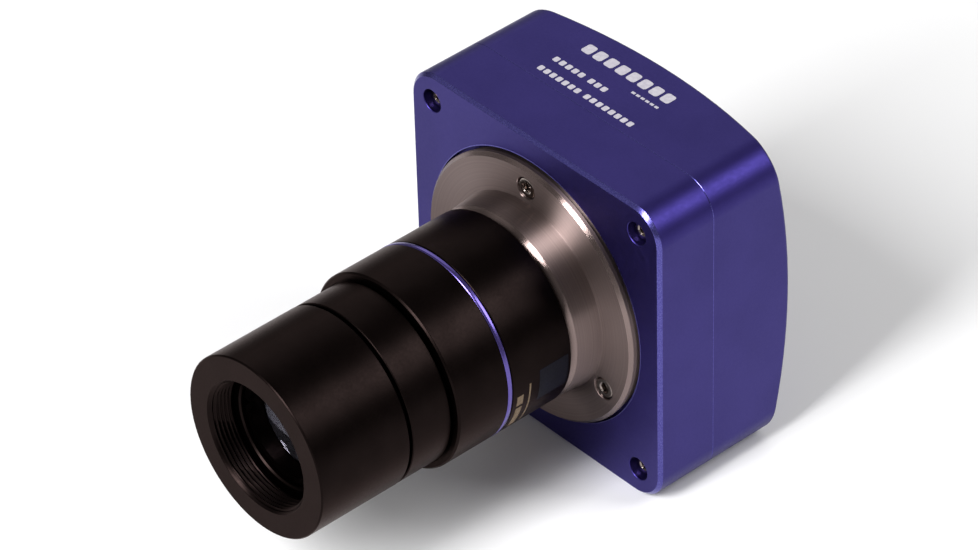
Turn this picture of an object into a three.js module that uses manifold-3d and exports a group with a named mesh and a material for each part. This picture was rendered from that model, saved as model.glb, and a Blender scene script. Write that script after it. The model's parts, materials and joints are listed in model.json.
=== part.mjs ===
// A guide camera for telescopes: a square two-part housing with a domed back, a bare C-mount flange,
// and a fixed reducing adapter whose 1.25 inch nosepiece slides over a 23 mm lens tube.
//
// Millimetres. The camera is modelled about its lens axis: X to the right, Y towards the back of the
// camera, Z up, with Y = 0 at the housing's front face. The exported group then lifts it on to its
// bottom face, with the origin under the middle of its length.
import * as THREE from "three";
import { mergeVertices } from "three/addons/utils/BufferGeometryUtils.js";
import Module from "manifold-3d";

// ---- Driving dimensions ----------------------------------------------------------------------------

const GAP = 0.1; // between pieces that are fixed to each other
const FINE = 32; // sides of a large turned piece
const COARSE = 12; // sides of a small turned piece

const HOUSING = {
  half: 29, // half of the 58 mm square
  corner: 6, // radius of its four long edges
  chamfer: 0.6, // round the front face
  seam: 11.55, // where the front and rear halves meet
  back: 32, // the dome's highest point, on the lens axis
  domeRadius: 113,
  frontWall: 5,
  frontCavity: 25, // half width inside the front half
  rearCavity: 23.7, // half width inside the rear half
  rearFloor: 19.8, // where the rear half's pocket ends, under a thick domed back
  lip: 1.2, // how far the rear half's tongue enters the front half
  cavityCorner: 3,
};

const CORNER_SCREW = {
  offset: 23.8, // from the lens axis, across and up
  headRadius: 1.9,
  head: 2,
  sunk: 1.3, // below the housing's front face
  shank: 0.95,
  tip: 21,
  post: 4.2, // radius of the post that it goes through
};
const COUNTERBORE = { radius: 2.15, clearance: 1.2, tapped: 1.05 };
const SOCKET_HEX = { radius: 0.87, depth: 0.9 };

const FLANGE = {
  radius: 24.05,
  face: -1.55, // front of the disc, proud of the housing
  back: 1.4, // back of the disc, sunk in the housing
  recess: 24.4, // radius of the housing's recess round it
  bossRoot: 17.45, // the boss narrows a little towards its front
  bossTip: 17.05,
  bossFront: -7.25,
  chamfer: 0.8,
  thread: 12.75, // 1 inch C-mount thread, as a plain bore
  threadEnd: -2.6,
  throat: 8.8,
  spigot: 14.5,
  spigotEnd: 4.6,
  filterSeat: 9.95,
  filterLedge: 1.8,
  screwCircle: 20.17,
  screwAngles: { top: 90, left: 210, right: 330 },
  edge: 0.6, // bevel round the disc
  lead: 0.3, // bevel at the mouth of the thread
  screwHead: 1.3,
  screwSunk: 0.2,
  screwTip: 4,
};

const FILTER = { radius: 9.7, thickness: 1.1, ringRadius: 9.8, slot: 1, slotDepth: 0.6 };
const SHIM = { inner: 12.75, outer: 15.9, thickness: 0.3 };

const BOARD = {
  thickness: 1.6,
  sensorFront: 10.8,
  interfaceFront: 16.4,
  sensorHalf: 23.2,
  interfaceHalf: 22.8,
  mountOffset: 17.5,
  hole: 1.1,
  post: 2.4,
  screw: { headRadius: 1.75, head: 1.4, length: 6 },
};
const STANDOFF = { radius: 2.3, stud: 0.75, studTip: 7.5, bore: 0.85 };
const SENSOR = {
  half: 5,
  front: 9.4,
  back: 10.7,
  die: 9.87, // floor of the well that the die lies in
  dieWidth: 7.4,
  dieHeight: 6,
  glassHalf: 4.6,
  glassFront: 8.95,
  glassBack: 9.3,
};
const SHROUD = { inner: 8.8, outer: 10.6 };
const HEADER = { width: 22, height: 4.4, z: -17 };
const CONTROLLER = { side: 9, thickness: 1.1, z: 6 };
const MEMORY = { width: 8, height: 11, thickness: 1, x: -9, z: 4 };
const CRYSTAL = { width: 5, height: 3.2, thickness: 1.2, x: 9, z: 4 };

const SOCKETS = {
  usb: { x: -10.5, width: 12, height: 10.9, wall: 0.4, front: 18.1, mouth: 30.5 },
  guide: { x: 10.5, width: 13.2, height: 11.4, front: 18.1, mouth: 30.5 },
  clearance: 0.25,
};
const USB_WELL = { half: 4.25, bottom: -3.9, shoulder: 2.3, topHalf: 2.7, top: 3.9, depth: 9.5, sunk: 0.3 };
const USB_TONGUE = { width: 5.6, height: 3.1, sunk: 1.4 };
const GUIDE_WELL = { // a plug well, then a step and a notch below it for the plug's latch
  plug: { width: 9.9, height: 6.9, depth: 11, z: 0.9 },
  step: { width: 6.3, height: 2, depth: 8, z: -3.5 },
  notch: { width: 3.6, height: 1.2, depth: 8, z: -4.9 },
};
const CONTACTS = { count: 6, pitch: 1.02, side: 0.5, sunk: 2.4, depth: 10.6, z: 3.8 };
const CARRIER = { width: 7, height: 1.2, sunk: 9.9, depth: 10.9, z: 3.5 };
const LED = { z: 14.5, radius: 1.4, pipe: 1.45, hole: 1.65, front: 18.1, pipeFront: 22.3, pipeBack: 31.1 };

const ADAPTER = {
  radius: 17.15,
  edge: 0.2, // small bevel on the sleeves' edges
  shoulder: -7.75, // back of the rear sleeve
  neck: 12.4, // male C-mount thread, as a plain cylinder
  neckEnd: -3.75,
  bore: 10.9,
  web: 2,
  spigot: 15.6, // of the front sleeve, inside the rear sleeve
  spigotBack: -12,
  spigotBore: 14.8,
  ringBack: -20.28,
  ringFront: -21.2,
  ringCrown: 17.2,
  webBack: -28,
  front: -31.5,
  frontEdge: 0.3,
  seat: 16, // radius of the shallow seat that the collar stands in
  seatDepth: 0.35,
};

const TUBE = {
  radius: 11.5,
  bore: 9.7,
  back: -27,
  front: -53.3,
  ledge: 8.6,
  ledgeFront: -41.2,
  ledgeBack: -39.7,
  clearance: 0.15, // of the bores that it is bonded into
};

// Each lens: front vertex and curvature radius, back vertex and curvature radius. A positive radius has
// its centre behind the surface.
const LENSES = {
  radius: 9.5,
  front: [-51, 26, -46.9, -60],
  back: [-43.45, 60, -40.25, -34],
  spacer: { inner: 8.7, front: -47.35, back: -43 },
  retainer: { inner: 8.4, outer: 9.55, sunk: 0.9, back: -49.8, slot: 1.2, slotDepth: 0.8 },
};

const COLLAR = {
  radius: 15.84,
  undercut: 15.2,
  back: -31.65,
  undercutEnd: -32,
  front: -39.75,
  relief: { bore: 14, back: -33, front: -38.6 }, // hollow round the lens tube
};

const NOSE = {
  radius: 15.875, // a 1.25 inch barrel
  back: -39.85,
  backBevel: 0.75, // leaves a V line between the nosepiece and the collar
  front: -58.3,
  bore: 11.75, // slides over the lens tube on two lands
  relief: { bore: 14.3, back: -43, front: -52 },
  threadBack: -53.5,
  thread: 10.8, // front thread, as a plain bore
  mouth: 11.3,
  edge: 0.25,
};

const COLOURS = {
  blue: { color: 0x2f2780, metalness: 0.9, roughness: 0.38 },
  bare: { color: 0xa79c95, metalness: 1, roughness: 0.25 },
  black: { color: 0x151213, metalness: 0.4, roughness: 0.42 },
  screw: { color: 0x9a9692, metalness: 1, roughness: 0.3 },
  glass: { color: 0x9fb4c8, metalness: 0, roughness: 0.05, transparent: true, opacity: 0.35 },
  rubber: { color: 0x101010, metalness: 0, roughness: 0.9 },
  board: { color: 0x0d3b24, metalness: 0, roughness: 0.5 },
  chip: { color: 0x17181a, metalness: 0, roughness: 0.6 },
  brass: { color: 0xb08d3e, metalness: 1, roughness: 0.35 },
  tin: { color: 0xb9b9b7, metalness: 1, roughness: 0.35 },
  moulding: { color: 0x1a1a1c, metalness: 0, roughness: 0.55 },
  white: { color: 0xdcdcd8, metalness: 0, roughness: 0.5 },
  lamp: { color: 0xd7e4d9, metalness: 0, roughness: 0.2, transparent: true, opacity: 0.6 },
};

// ---- Solid helpers ---------------------------------------------------------------------------------

const wasm = await Module();
wasm.setup();

// A closed three.js geometry as a manifold-3d solid.
function solid(geometry) {
  const bare = geometry.clone();
  bare.deleteAttribute("normal");
  bare.deleteAttribute("uv");
  const merged = mergeVertices(bare, 1e-4);
  return new wasm.Manifold(
    new wasm.Mesh({
      numProp: 3,
      vertProperties: merged.attributes.position.array,
      triVerts: new Uint32Array(merged.index.array),
    }),
  );
}

// A manifold-3d solid as a three.js geometry.
function geometryOf(shape) {
  const mesh = shape.getMesh();
  const positions = new Float32Array(mesh.numVert * 3);
  for (let i = 0; i < mesh.numVert; i++) {
    const start = i * mesh.numProp;
    positions.set(mesh.vertProperties.subarray(start, start + 3), i * 3);
  }
  const geometry = new THREE.BufferGeometry();
  geometry.setAttribute("position", new THREE.BufferAttribute(positions, 3));
  geometry.setIndex(new THREE.BufferAttribute(mesh.triVerts, 1));
  geometry.computeVertexNormals();
  return geometry;
}

const cut = (body, ...tools) => tools.reduce((left, tool) => left.subtract(tool), body);
const join = (...bodies) => bodies.reduce((all, body) => all.add(body));

// A ring or a round bar about the lens axis, from the corners [radius, y] of its section.
function turned(section, sides = FINE) {
  const points = section.map(([radius, y]) => new THREE.Vector2(radius, y));
  if (THREE.ShapeUtils.area(points) < 0) points.reverse();
  const open = points.findIndex((p, i) => p.x === 0 && points[(i + 1) % points.length].x === 0);
  if (open >= 0) points.push(...points.splice(0, open + 1));
  else points.push(points[0].clone());
  return solid(new THREE.LatheGeometry(points, sides));
}

// A plain round bar from y0 to y1, centred on x and z.
function bar(radius, y0, y1, x = 0, z = 0, sides = COARSE) {
  const geometry = new THREE.CylinderGeometry(radius, radius, y1 - y0, sides);
  return solid(geometry.translate(x, (y0 + y1) / 2, z));
}

// A block from y0 to y1, centred on x and z.
function block(width, height, y0, y1, x = 0, z = 0) {
  return solid(new THREE.BoxGeometry(width, y1 - y0, height).translate(x, (y0 + y1) / 2, z));
}

function roundedSquare(half, corner) {
  const shape = new THREE.Shape();
  const inner = half - corner;
  shape.absarc(inner, inner, corner, 0, Math.PI / 2);
  shape.absarc(-inner, inner, corner, Math.PI / 2, Math.PI);
  shape.absarc(-inner, -inner, corner, Math.PI, 1.5 * Math.PI);
  shape.absarc(inner, -inner, corner, 1.5 * Math.PI, 2 * Math.PI);
  return shape;
}

// A shape drawn in X and Z, extruded from y0 to y1, with an optional bevel at both ends.
function plate(shape, y0, y1, bevel = 0) {
  const geometry = new THREE.ExtrudeGeometry(shape, {
    depth: y1 - y0 - 2 * bevel,
    curveSegments: 6,
    bevelEnabled: bevel > 0,
    bevelThickness: bevel,
    bevelSize: bevel,
    bevelOffset: -bevel,
    bevelSegments: 1,
  });
  return solid(geometry.rotateX(Math.PI / 2).translate(0, y1 - bevel, 0));
}

const around = (radius, degrees) => {
  const angle = THREE.MathUtils.degToRad(degrees);
  return [radius * Math.cos(angle), radius * Math.sin(angle)];
};

// The four [x, z] places at plus and minus the offset.
const corners = (offset) => [
  [-offset, offset],
  [offset, offset],
  [offset, -offset],
  [-offset, -offset],
];

const polygon = (points) => new THREE.Shape(points.map(([x, z]) => new THREE.Vector2(x, z)));

// ---- Housing ---------------------------------------------------------------------------------------

// How far back the dome reaches at a distance from the lens axis.
function domeAt(radius) {
  const { back, domeRadius } = HOUSING;
  return back - domeRadius + Math.sqrt(domeRadius ** 2 - radius ** 2);
}

function housingBody() {
  const { half, corner, chamfer, back } = HOUSING;
  const rim = 45; // beyond the square's corners
  const steps = 6;
  const arc = Array.from({ length: steps + 1 }, (_, i) => {
    const radius = rim * (1 - i / steps);
    return [radius, domeAt(radius)];
  });
  const dome = turned([[0, -5], [rim, -5], ...arc]);
  return plate(roundedSquare(half, corner), 0, back + 10, chamfer).intersect(dome);
}

function cornerPosts(radius, y0, y1) {
  return join(...corners(CORNER_SCREW.offset).map(([x, z]) => bar(radius, y0, y1, x, z)));
}

function frontHousing() {
  const { seam, frontWall, frontCavity, cavityCorner } = HOUSING;
  const end = seam - GAP / 2;
  const boardPosts = corners(BOARD.mountOffset).map(([x, z]) =>
    bar(BOARD.post, 0, BOARD.sensorFront - GAP, x, z),
  );
  const cavity = cut(
    plate(roundedSquare(frontCavity, cavityCorner), frontWall, end + 1),
    cornerPosts(CORNER_SCREW.post, 0, end + 2),
    ...boardPosts,
  );
  const seatDepth = CORNER_SCREW.sunk + CORNER_SCREW.head + GAP;
  return cut(
    housingBody().intersect(block(80, 80, -1, end)),
    cavity,
    bar(FLANGE.recess, -1, FLANGE.back + GAP, 0, 0, FINE),
    bar(FLANGE.spigot + GAP, -1, frontWall + 1, 0, 0, FINE),
    cornerPosts(COUNTERBORE.radius, -1, seatDepth),
    cornerPosts(COUNTERBORE.clearance, -1, end + 1),
    ...flangeScrewPlaces().map(([x, z]) => bar(COUNTERBORE.tapped, 0, FLANGE.screwTip + 0.4, x, z)),
    ...corners(BOARD.mountOffset).map(([x, z]) => bar(STANDOFF.bore, STANDOFF.studTip - 0.5, end, x, z)),
  );
}

function rearHousing() {
  const { seam, lip, frontCavity, rearCavity, rearFloor, cavityCorner, back } = HOUSING;
  const start = seam + GAP / 2;
  const tongue = cut(
    plate(roundedSquare(frontCavity - 0.2, cavityCorner), start - lip, start + 1),
    cornerPosts(CORNER_SCREW.post + 0.3, start - lip - 1, start),
  );
  const pocket = cut(
    plate(roundedSquare(rearCavity, cavityCorner), start - lip - 1, rearFloor),
    cornerPosts(CORNER_SCREW.post, start, rearFloor + 1),
  );
  const { usb, guide, clearance } = SOCKETS;
  const doorway = ({ x, width, height }) =>
    block(width + 2 * clearance, height + 2 * clearance, rearFloor - 1, back + 1, x);
  return cut(
    join(housingBody().intersect(block(80, 80, start, back + 1)), tongue),
    pocket,
    cornerPosts(COUNTERBORE.tapped, start - 1, CORNER_SCREW.tip + 1),
    doorway(usb),
    doorway(guide),
    bar(LED.hole, rearFloor - 1, back + 1, 0, LED.z),
  );
}

// ---- Fasteners -------------------------------------------------------------------------------------

// A socket-head screw along Y: its head starts at y and its shank ends at tip.
function socketScrew(headRadius, head, shank, y, tip) {
  const bevel = 0.3;
  const body = turned(
    [[0, y], [headRadius - bevel, y], [headRadius, y + bevel], [headRadius, y + head],
      [shank, y + head], [shank, tip], [0, tip]],
    COARSE,
  );
  return cut(body, bar(SOCKET_HEX.radius, y - 1, y + SOCKET_HEX.depth, 0, 0, 6));
}

const flangeScrewPlaces = () =>
  Object.values(FLANGE.screwAngles).map((degrees) => around(FLANGE.screwCircle, degrees));

function flangeScrew() {
  const { headRadius, shank } = CORNER_SCREW;
  const { face, screwHead, screwSunk, screwTip } = FLANGE;
  return socketScrew(headRadius, screwHead, shank, face + screwSunk, screwTip);
}

function cornerScrew() {
  const { headRadius, head, shank, sunk, tip } = CORNER_SCREW;
  return socketScrew(headRadius, head, shank, sunk, tip);
}

// The screws behind the interface board face backwards, so the screw is turned round.
function boardScrew() {
  const { headRadius, head, length } = BOARD.screw;
  const headBack = BOARD.interfaceFront + BOARD.thickness + GAP + head;
  const facingFront = socketScrew(headRadius, head, STANDOFF.stud, 0, length);
  return facingFront.rotate([180, 0, 0]).translate([0, headBack, 0]);
}

function standoff() {
  const front = BOARD.sensorFront + BOARD.thickness + GAP;
  const back = BOARD.interfaceFront - GAP;
  return cut(
    join(bar(STANDOFF.radius, front, back, 0, 0, 6), bar(STANDOFF.stud, STANDOFF.studTip, front + 0.5)),
    bar(STANDOFF.bore, front + 0.7, back + 1),
  );
}

// ---- C-mount and sensor ----------------------------------------------------------------------------

function cMountFlange() {
  const f = FLANGE;
  const ring = turned([
    [f.thread + f.lead, f.bossFront],
    [f.bossTip - f.chamfer, f.bossFront],
    [f.bossTip, f.bossFront + f.chamfer],
    [f.bossRoot, f.face],
    [f.radius - f.edge, f.face],
    [f.radius, f.face + f.edge],
    [f.radius, f.back],
    [f.spigot, f.back],
    [f.spigot, f.spigotEnd],
    [f.filterSeat, f.spigotEnd],
    [f.filterSeat, f.filterLedge],
    [f.throat, f.filterLedge],
    [f.throat, f.threadEnd],
    [f.thread, f.threadEnd],
    [f.thread, f.bossFront + f.lead],
  ]);
  const seat = f.face + f.screwSunk + f.screwHead + GAP;
  const holes = flangeScrewPlaces().flatMap(([x, z]) => [
    bar(COUNTERBORE.radius, f.face - 1, seat, x, z),
    bar(COUNTERBORE.clearance, f.face - 1, f.back + 1, x, z),
  ]);
  return cut(ring, ...holes);
}

function filterGlass() {
  const front = FLANGE.filterLedge + GAP;
  return bar(FILTER.radius, front, front + FILTER.thickness, 0, 0, FINE);
}

// The threaded ring that holds the filter in its seat, with a slot across it for a key.
function filterRing() {
  const front = FLANGE.filterLedge + 2 * GAP + FILTER.thickness;
  const back = FLANGE.spigotEnd - GAP;
  const { throat } = FLANGE;
  const { ringRadius, slot, slotDepth } = FILTER;
  const ring = turned([[throat, front], [ringRadius, front], [ringRadius, back], [throat, back]]);
  return cut(ring, block(3 * ringRadius, slot, back - slotDepth, back + 1));
}

function lightShroud() {
  const front = FLANGE.spigotEnd + GAP;
  const back = BOARD.sensorFront - GAP;
  const { inner, outer } = SHROUD;
  return turned([[inner, front], [outer, front], [outer, back], [inner, back]]);
}

function imageSensor() {
  const { half, front, back, die, dieWidth, dieHeight } = SENSOR;
  return cut(block(2 * half, 2 * half, front, back), block(dieWidth, dieHeight, front - 1, die));
}

function sensorGlass() {
  const { glassHalf, glassFront, glassBack } = SENSOR;
  return block(2 * glassHalf, 2 * glassHalf, glassFront, glassBack);
}

// ---- Boards and sockets ----------------------------------------------------------------------------

function circuitBoard(half, front) {
  const back = front + BOARD.thickness;
  return cut(
    plate(roundedSquare(half, 1.5), front, back),
    cornerPosts(CORNER_SCREW.post + 0.5, front - 1, back + 1),
    ...corners(BOARD.mountOffset).map(([x, z]) => bar(BOARD.hole, front - 1, back + 1, x, z)),
  );
}

// The pin header that joins the two boards.
function boardHeader() {
  const front = BOARD.sensorFront + BOARD.thickness + GAP;
  return block(HEADER.width, HEADER.height, front, BOARD.interfaceFront - GAP, 0, HEADER.z);
}

function controllerChip() {
  const { side, thickness, z } = CONTROLLER;
  const back = BOARD.interfaceFront - GAP;
  return block(side, side, back - thickness, back, 0, z);
}

// A chip on the back of the sensor board.
function sensorBoardChip({ width, height, thickness, x, z }) {
  const front = BOARD.sensorFront + BOARD.thickness + GAP;
  return block(width, height, front, front + thickness, x, z);
}

function usbShell() {
  const { x, width, height, wall, front, mouth } = SOCKETS.usb;
  return cut(
    block(width, height, front, mouth, x),
    block(width - 2 * wall, height - 2 * wall, front + wall, mouth + 1, x),
  );
}

// The moulding inside the USB shell: a D-shaped well with the contact tongue standing in it.
function usbInsert() {
  const { x, width, height, wall, front, mouth } = SOCKETS.usb;
  const { half, bottom, shoulder, topHalf, top, depth, sunk } = USB_WELL;
  const outer = 2 * (wall + GAP);
  const well = polygon([
    [-half, bottom], [half, bottom], [half, shoulder], [topHalf, top], [-topHalf, top], [-half, shoulder],
  ]);
  const floor = mouth - depth;
  const body = block(width - outer, height - outer, front + wall + GAP, mouth - sunk, x);
  return join(
    cut(body, plate(well, floor, mouth + 1).translate([x, 0, 0])),
    block(USB_TONGUE.width, USB_TONGUE.height, floor - 0.5, mouth - USB_TONGUE.sunk, x),
  );
}

function guideSocket() {
  const { x, width, height, front, mouth } = SOCKETS.guide;
  const wells = Object.values(GUIDE_WELL).map((w) =>
    block(w.width, w.height, mouth - w.depth, mouth + 1, x, w.z),
  );
  return cut(block(width, height, front, mouth, x), ...wells);
}

// The sprung contacts on one carrier, along the top of the guide socket's well.
function guideContacts() {
  const { x, mouth } = SOCKETS.guide;
  const { count, pitch, side, sunk, depth, z } = CONTACTS;
  const wires = Array.from({ length: count }, (_, i) =>
    block(side, side, mouth - depth, mouth - sunk, x + (i - (count - 1) / 2) * pitch, z),
  );
  const carrier = block(
    CARRIER.width, CARRIER.height, mouth - CARRIER.depth, mouth - CARRIER.sunk, x, CARRIER.z,
  );
  return join(carrier, ...wires);
}

function statusLamp() {
  const { radius, front, pipeFront, z } = LED;
  const top = pipeFront - GAP;
  const section = [[0, front], [radius, front], [radius, top - 1], [radius * 0.7, top - 0.3], [0, top]];
  return turned(section, COARSE).translate([0, 0, z]);
}

function lightPipe() {
  return bar(LED.pipe, LED.pipeFront, LED.pipeBack, 0, LED.z);
}

// ---- Adapter ---------------------------------------------------------------------------------------

// The thin ring that sets the distance from the mount to the sensor. It leaves with the adapter.
function focalShim() {
  const back = FLANGE.bossFront - GAP;
  const front = back - SHIM.thickness;
  return turned([[SHIM.inner, back], [SHIM.outer, back], [SHIM.outer, front], [SHIM.inner, front]]);
}

function rearBarrel() {
  const a = ADAPTER;
  const inside = a.spigot + 0.15;
  const front = a.ringBack + GAP;
  return turned([
    [a.bore, a.neckEnd],
    [a.neck, a.neckEnd],
    [a.neck, a.shoulder],
    [a.radius - a.edge, a.shoulder],
    [a.radius, a.shoulder - a.edge],
    [a.radius, front],
    [inside, front],
    [inside, a.shoulder - a.web],
    [a.bore, a.shoulder - a.web],
  ]);
}

function accentRing() {
  const a = ADAPTER;
  const inside = a.spigot + 0.15;
  return turned([
    [inside, a.ringBack],
    [a.radius - 0.05, a.ringBack],
    [a.ringCrown, (a.ringBack + a.ringFront) / 2],
    [a.radius - 0.05, a.ringFront],
    [inside, a.ringFront],
  ]);
}

function frontBarrel() {
  const a = ADAPTER;
  const back = a.ringFront - GAP;
  const bore = TUBE.radius + TUBE.clearance;
  return turned([
    [a.spigotBore, a.spigotBack],
    [a.spigot, a.spigotBack],
    [a.spigot, back],
    [a.radius, back],
    [a.radius, a.front + a.frontEdge],
    [a.radius - a.frontEdge, a.front],
    [a.seat, a.front],
    [a.seat, a.front + a.seatDepth],
    [bore, a.front + a.seatDepth],
    [bore, a.webBack],
    [a.spigotBore, a.webBack],
  ]);
}

function lensTube() {
  const t = TUBE;
  return turned([
    [t.bore, t.back],
    [t.radius, t.back],
    [t.radius, t.front],
    [t.bore, t.front],
    [t.bore, t.ledgeFront],
    [t.ledge, t.ledgeFront],
    [t.ledge, t.ledgeBack],
    [t.bore, t.ledgeBack],
  ]);
}

function lens([frontVertex, frontCurve, backVertex, backCurve]) {
  const { radius } = LENSES;
  const steps = 3;
  const sag = (curve, r) => Math.sign(curve) * (Math.abs(curve) - Math.sqrt(curve ** 2 - r ** 2));
  const surface = (vertex, curve) =>
    Array.from({ length: steps + 1 }, (_, i) => {
      const r = (radius * i) / steps;
      return [r, vertex + sag(curve, r)];
    });
  return turned([...surface(frontVertex, frontCurve), ...surface(backVertex, backCurve).reverse()]);
}

function lensSpacer() {
  const { inner, front, back } = LENSES.spacer;
  const { radius } = LENSES;
  return turned([[inner, front], [radius, front], [radius, back], [inner, back]]);
}

// The threaded ring in front of the lenses, with a slot across it for a key.
function lensRetainer() {
  const { inner, outer, sunk, back, slot, slotDepth } = LENSES.retainer;
  const front = TUBE.front + sunk;
  const ring = turned([[inner, back], [outer, back], [outer, front], [inner, front]]);
  return cut(ring, block(3 * outer, slot, front - 1, front + slotDepth));
}

// ---- Nosepiece -------------------------------------------------------------------------------------

// The fixed collar that the nosepiece seats against.
function stopCollar() {
  const c = COLLAR;
  const bore = TUBE.radius + TUBE.clearance;
  return turned([
    [bore, c.back],
    [c.undercut, c.back],
    [c.undercut, c.undercutEnd],
    [c.radius, c.undercutEnd],
    [c.radius, c.front],
    [bore, c.front],
    [bore, c.relief.front],
    [c.relief.bore, c.relief.front],
    [c.relief.bore, c.relief.back],
    [bore, c.relief.back],
  ]);
}

function nosepiece() {
  const n = NOSE;
  return turned([
    [n.bore, n.back],
    [n.radius - n.backBevel, n.back],
    [n.radius, n.back - n.backBevel],
    [n.radius, n.front + n.edge],
    [n.radius - n.edge, n.front],
    [n.mouth, n.front],
    [n.thread, n.front + (n.mouth - n.thread)],
    [n.thread, n.threadBack],
    [n.bore, n.threadBack],
    [n.bore, n.relief.front],
    [n.relief.bore, n.relief.front],
    [n.relief.bore, n.relief.back],
    [n.bore, n.relief.back],
  ]);
}

// ---- Assembly --------------------------------------------------------------------------------------

const camera = new THREE.Group();

// Adds one named piece, at [x, z] off the lens axis where it has a place of its own.
function add(name, shape, colour, [x, z] = [0, 0]) {
  const mesh = new THREE.Mesh(geometryOf(shape), new THREE.MeshStandardMaterial(COLOURS[colour]));
  mesh.name = name;
  mesh.position.set(x, 0, z);
  camera.add(mesh);
}

add("front_housing", frontHousing(), "blue");
add("rear_housing", rearHousing(), "blue");
corners(CORNER_SCREW.offset).forEach((place, i) => {
  add(`housing_screw_${i + 1}`, cornerScrew(), "screw", place);
});

add("c_mount_flange", cMountFlange(), "bare");
for (const [side, degrees] of Object.entries(FLANGE.screwAngles)) {
  add(`flange_screw_${side}`, flangeScrew(), "screw", around(FLANGE.screwCircle, degrees));
}
add("ir_cut_filter", filterGlass(), "glass");
add("filter_ring", filterRing(), "black");
add("light_shroud", lightShroud(), "rubber");

add("sensor_board", circuitBoard(BOARD.sensorHalf, BOARD.sensorFront), "board");
add("image_sensor", imageSensor(), "chip");
add("sensor_glass", sensorGlass(), "glass");
add("memory_chip", sensorBoardChip(MEMORY), "chip");
add("clock_crystal", sensorBoardChip(CRYSTAL), "tin");
add("board_header", boardHeader(), "moulding");
add("interface_board", circuitBoard(BOARD.interfaceHalf, BOARD.interfaceFront), "board");
add("controller_chip", controllerChip(), "chip");
corners(BOARD.mountOffset).forEach((place, i) => {
  add(`standoff_${i + 1}`, standoff(), "brass", place);
  add(`board_screw_${i + 1}`, boardScrew(), "screw", place);
});

add("usb_shell", usbShell(), "tin");
add("usb_insert", usbInsert(), "white");
add("guide_socket", guideSocket(), "moulding");
add("guide_contacts", guideContacts(), "brass");
add("status_lamp", statusLamp(), "lamp");
add("light_pipe", lightPipe(), "lamp");

add("focal_shim", focalShim(), "screw");
add("rear_barrel", rearBarrel(), "black");
add("accent_ring", accentRing(), "blue");
add("front_barrel", frontBarrel(), "black");
add("lens_tube", lensTube(), "black");
add("front_lens", lens(LENSES.front), "glass");
add("lens_spacer", lensSpacer(), "black");
add("rear_lens", lens(LENSES.back), "glass");
add("lens_retainer", lensRetainer(), "black");
add("stop_collar", stopCollar(), "black");

add("nosepiece", nosepiece(), "black");

// The bottom face at Z = 0, and the origin under the middle of the length.
camera.position.set(0, -(NOSE.front + HOUSING.back) / 2, HOUSING.half);

export default camera;
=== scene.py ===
"""The looks of a guide camera: a square two-part anodised housing, a bare turned C-mount flange and a
black reducing adapter that ends in a 1.25 inch nosepiece.

Shapes are drawn in the lens frame, in millimetres: x to the right, y towards the back of the camera and
z up, with y = 0 at the housing's front face and x = z = 0 on the lens axis. Solid.build moves them into
the row frame, in metres.
"""

import json
import math

import bmesh
import bpy
from mathutils import Matrix, Vector
from mathutils.geometry import delaunay_2d_cdt


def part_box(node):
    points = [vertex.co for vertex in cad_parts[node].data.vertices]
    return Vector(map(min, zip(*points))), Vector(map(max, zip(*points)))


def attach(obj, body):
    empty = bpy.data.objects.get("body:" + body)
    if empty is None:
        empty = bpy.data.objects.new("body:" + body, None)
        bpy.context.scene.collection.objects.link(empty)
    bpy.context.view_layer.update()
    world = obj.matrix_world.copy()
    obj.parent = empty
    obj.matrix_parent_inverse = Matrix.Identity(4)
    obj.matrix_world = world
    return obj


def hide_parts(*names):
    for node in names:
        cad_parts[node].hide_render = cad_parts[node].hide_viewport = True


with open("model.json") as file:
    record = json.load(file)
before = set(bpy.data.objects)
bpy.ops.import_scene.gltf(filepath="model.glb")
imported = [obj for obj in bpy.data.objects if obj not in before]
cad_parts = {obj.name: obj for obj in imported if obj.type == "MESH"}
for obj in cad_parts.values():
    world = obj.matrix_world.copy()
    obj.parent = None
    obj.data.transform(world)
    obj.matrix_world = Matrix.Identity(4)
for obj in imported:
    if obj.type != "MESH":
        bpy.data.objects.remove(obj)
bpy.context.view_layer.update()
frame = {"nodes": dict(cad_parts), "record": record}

# ---- Places that come from the frame ----

MM = 0.001
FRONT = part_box("front_housing")[0].y  # row y of the housing's front face
NOSE_LOW, NOSE_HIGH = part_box("nosepiece")
AXIS_X = (NOSE_LOW.x + NOSE_HIGH.x) / 2
AXIS_Z = (NOSE_LOW.z + NOSE_HIGH.z) / 2


def ends(node):
    """The front and back of a CAD node, as y in the lens frame."""
    low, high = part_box(node)
    return (low.y - FRONT) / MM, (high.y - FRONT) / MM


def radius_of(node):
    """Half the width of a round CAD node, in millimetres."""
    low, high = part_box(node)
    return (high.x - low.x) / 2 / MM


def centre_of(node):
    """The (x, z) centre of a CAD node in the lens frame."""
    low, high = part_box(node)
    return ((low.x + high.x) / 2 - AXIS_X) / MM, ((low.z + high.z) / 2 - AXIS_Z) / MM


def size_of(node):
    """The width and height of a CAD node, in millimetres."""
    low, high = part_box(node)
    return (high.x - low.x) / MM, (high.z - low.z) / MM


# ---- Dimensions of the fine detail, in millimetres ----

INK = 0.03  # thickness of printed marks, which the housing's skin leaves room for
HALF = size_of("front_housing")[0] / 2 - INK
CORNER = 6.0  # radius of the housing's long edges
DOME_RADIUS = 113.0  # of the housing's back
EDGE = 0.07  # broken edge along the seam
GAP = 0.1  # between the halves in the CAD, which the fine shapes close to a hairline
HAIRLINE = 0.02
SEAM = ends("front_housing")[1] + GAP / 2
BACK = ends("rear_housing")[1]
CAVITY = {"front": 25.0, "rear": 23.7, "wall": 5.0, "floor": 19.8, "post": 4.2}
SCREW_AT = centre_of("housing_screw_2")[0]
COUNTERBORE = {"radius": 2.03, "rim": 0.1, "depth": 3.4, "clearance": 1.2, "tapped": 1.05, "tip": 22.0}
FLANGE_GAP = 0.35  # between the flange's rim and the recess round it
MOUNT_HOLE = 14.6  # of the housing round the flange's spigot
DOOR_GAP = 0.25  # round the sockets in the back

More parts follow.
